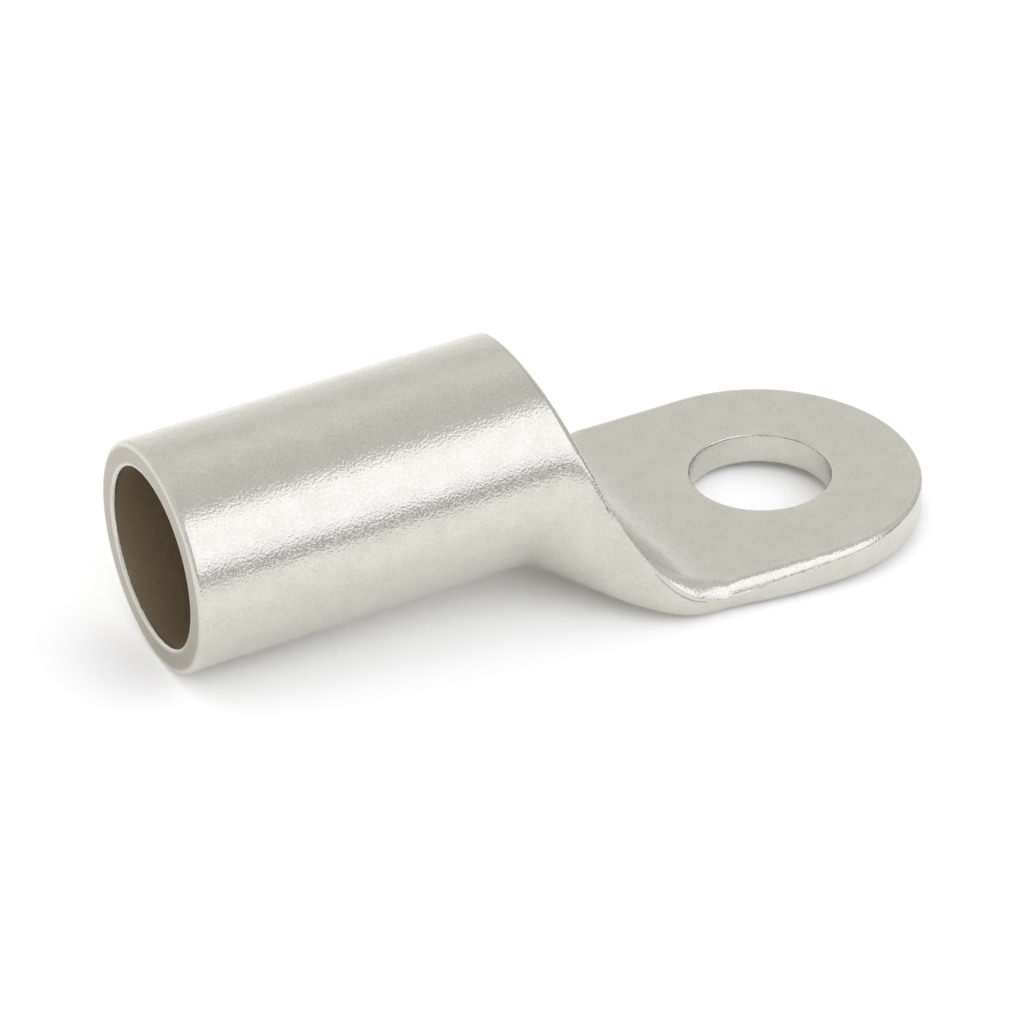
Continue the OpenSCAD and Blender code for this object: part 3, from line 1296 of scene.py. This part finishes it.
@dataclass
class Studio:
    """A white table, a soft box in front, a bright room, and the camera.

    Attributes:
        aim: point that the camera looks at, in metres.
        forward: direction that it looks in.
        down: direction of the picture's lower edge.
        distance: distance from the camera to that point.
        focal: lens in millimetres on a 36 mm sensor.
        box_direction: direction from the lug to the soft box.
        box_distance: distance to the soft box.
        box_size: its width and height.
        box_radiance: brightness of its face, where the white table is about 1.
        floor_size: width of the table.
        floor_gap: clearance between the lug and the table, so that they don't coincide.
        floor_front: distance from the lug to the table's front end.
        table_colour: white of the table as it lights the lug.
        table_seen: white of the table as it is seen, also in the metal.
        room: brightness of the room, where 1 is white, at angles round the lug in
            degrees: 0 at the back, 90 overhead, 180 and -180 in front.
        room_turn: how far the front lies towards the palm's end, as a slope.
    """

    aim: tuple[float, float, float] = (-0.02023, 0.000774, 0.003485)
    forward: tuple[float, float, float] = (0.38557, 0.75022, -0.53713)
    down: tuple[float, float, float] = (-0.26199, -0.46916, -0.84336)
    distance: float = 0.31555
    focal: float = 154.55
    box_direction: tuple[float, float, float] = (0.333, -0.794, 0.509)
    box_distance: float = 0.9
    box_size: tuple[float, float] = (1.1, 0.88)
    box_radiance: tuple[float, float, float] = (0.717, 0.742, 0.856)
    floor_size: float = 6.0
    floor_gap: float = 0.00002
    floor_front: float = 0.16
    table_colour: float = 0.86
    table_seen: float = 1.25
    room: tuple[tuple[float, float], ...] = (
        (-180.0, 0.48),
        (-172.0, 0.48),
        (-150.0, 0.95),
        (17.0, 1.0),
        (47.0, 0.85),
        (78.0, 0.93),
        (107.0, 0.79),
        (165.0, 0.79),
        (175.0, 0.48),
        (180.0, 0.48),
    )
    room_turn: float = 0.7

    def build(self, lowest: tuple[Vector, Vector]) -> None:
        """Makes the camera, the lights, the room and the table.

        Args:
            lowest: the two points that the lug rests on.
        """
        self._camera()
        self._soft_box()
        self._room()
        self._table(*lowest)
        bpy.context.scene.view_settings.view_transform = "Standard"

    def _camera(self) -> None:
        """Makes the camera and hands it to the scene."""
        data = bpy.data.cameras.new("camera")
        data.sensor_width = 36.0
        data.lens = self.focal
        data.clip_start, data.clip_end = 0.01, 20.0
        camera = bpy.data.objects.new("camera", data)
        forward = Vector(self.forward).normalized()
        up = -Vector(self.down)
        right = forward.cross(up).normalized()
        up = right.cross(forward)
        turn = Matrix((right, up, -forward)).transposed()
        camera.matrix_world = Matrix.Translation(
            Vector(self.aim) - forward * self.distance
        ) @ turn.to_4x4()
        bpy.context.scene.collection.objects.link(camera)
        bpy.context.scene.camera = camera

    def _soft_box(self) -> None:
        """Makes the large soft box in front of the lug."""
        data = bpy.data.lights.new("soft_box", "AREA")
        data.shape = "RECTANGLE"
        data.size, data.size_y = self.box_size
        data.energy = math.pi * self.box_size[0] * self.box_size[1]
        data.color = self.box_radiance
        lamp = bpy.data.objects.new("soft_box", data)
        away = Vector(self.box_direction).normalized()
        lamp.location = away * self.box_distance + Vector(self.aim)
        lamp.rotation_euler = away.to_track_quat("Z", "Y").to_euler()
        bpy.context.scene.collection.objects.link(lamp)

    def _room(self) -> None:
        """Makes the room's light, which changes with the angle round the lug."""
        world = bpy.data.worlds.new("room")
        bpy.context.scene.world = world
        world.use_nodes = True
        tree = world.node_tree
        split = {0: add_node(tree, "ShaderNodeTexCoord").outputs["Generated"]}
        side = add_node(tree, "ShaderNodeSeparateXYZ", split).outputs
        across = {0: side["X"], 1: -self.room_turn, 2: side["Y"]}
        behind = add_node(tree, "ShaderNodeMath", across, operation="MULTIPLY_ADD").outputs[0]
        both = {0: side["Z"], 1: behind}
        angle = add_node(tree, "ShaderNodeMath", both, operation="ARCTAN2").outputs[0]
        whole = {"Value": angle, "From Min": -math.pi, "From Max": math.pi}
        turn = add_node(tree, "ShaderNodeMapRange", whole).outputs["Result"]
        ramp = add_node(tree, "ShaderNodeValToRGB", {"Fac": turn})
        ramp.color_ramp.interpolation = "EASE"
        while len(ramp.color_ramp.elements) < len(self.room):
            ramp.color_ramp.elements.new(0.5)
        for stop, (degrees, level) in zip(ramp.color_ramp.elements, self.room):
            stop.position = degrees / 360.0 + 0.5
            stop.color = (level, level, level, 1.0)
        direct = add_node(tree, "ShaderNodeLightPath").outputs["Is Camera Ray"]
        strength = {"Factor": direct, "A": ramp.outputs["Color"], "B": 1.0}
        back = tree.nodes["Background"]
        back.inputs["Color"].default_value = (1.0, 1.0, 1.0, 1.0)
        feed(
            tree,
            back.inputs["Strength"],
            add_node(tree, "ShaderNodeMix", strength).outputs["Result"],
        )

    def _table(self, near: Vector, far: Vector) -> None:
        """Makes the white table that the lug rests on.

        Args:
            near: lowest point of the barrel's mouth.
            far: point under the palm that touches the table.
        """
        mesh = bpy.data.meshes.new("table")
        lie = (far - near).normalized()
        side = Vector((0.0, 1.0, 0.0))
        up = lie.cross(side)
        middle = (near + far) / 2 - up * self.floor_gap
        half = self.floor_size / 2
        ends = ((-half, -self.floor_front), (half, -self.floor_front), (half, half), (-half, half))
        corners = [middle + lie * a + side * b for a, b in ends]
        mesh.from_pydata(corners, [], [(0, 1, 2, 3)])
        table = bpy.data.objects.new("table", mesh)
        bpy.context.scene.collection.objects.link(table)
        mesh.materials.append(self._white())

    def _white(self) -> bpy.types.Material:
        """The table's white: its own shadow stays, and it is white where nothing shades it.

        Returns:
            The material.
        """
        made = bpy.data.materials.new("white_table")
        made.use_nodes = True
        tree = made.node_tree
        tree.nodes.remove(tree.nodes["Principled BSDF"])
        path = add_node(tree, "ShaderNodeLightPath").outputs
        seen = path["Is Camera Ray"]
        for other in ("Is Glossy Ray", "Is Transmission Ray"):
            either = {0: seen, 1: path[other]}
            seen = add_node(tree, "ShaderNodeMath", either, operation="MAXIMUM").outputs[0]
        white = blend(tree, seen, (self.table_colour,) * 3, (self.table_seen,) * 3)
        shader = add_node(tree, "ShaderNodeBsdfDiffuse", {"Color": white})
        feed(tree, tree.nodes["Material Output"].inputs["Surface"], shader.outputs[0])
        return made


def resting_points(lug: bpy.types.Object) -> tuple[Vector, Vector]:
    """The two points of the lug that lie on the table when it is put down.

    Args:
        lug: the finished lug.

    Returns:
        The lowest point of the mouth, and the point under the palm that touches first.
    """
    points = [Vector((v.co.x, 0.0, v.co.z)) for v in lug.data.vertices]
    end = min(p.x for p in points)
    mouth = min((p for p in points if p.x < end + MOUTH_REACH), key=lambda p: p.z)
    palm = (p for p in points if p.x > end / 2)
    return mouth, min(palm, key=lambda p: (p.z - mouth.z) / (p.x - mouth.x))


def main() -> None:
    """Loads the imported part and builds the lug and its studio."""
    logging.basicConfig(level=logging.INFO, format="%(name)s: %(message)s")
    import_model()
    tube = PressedTube()
    body = tube.build(TinPlating().material())
    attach(body, "root")
    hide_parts("cable_lug")
    LOG.info("%s: %d faces", body.name, len(body.data.polygons))
    Studio().build(resting_points(body))


if __name__ == "__main__":
    main()
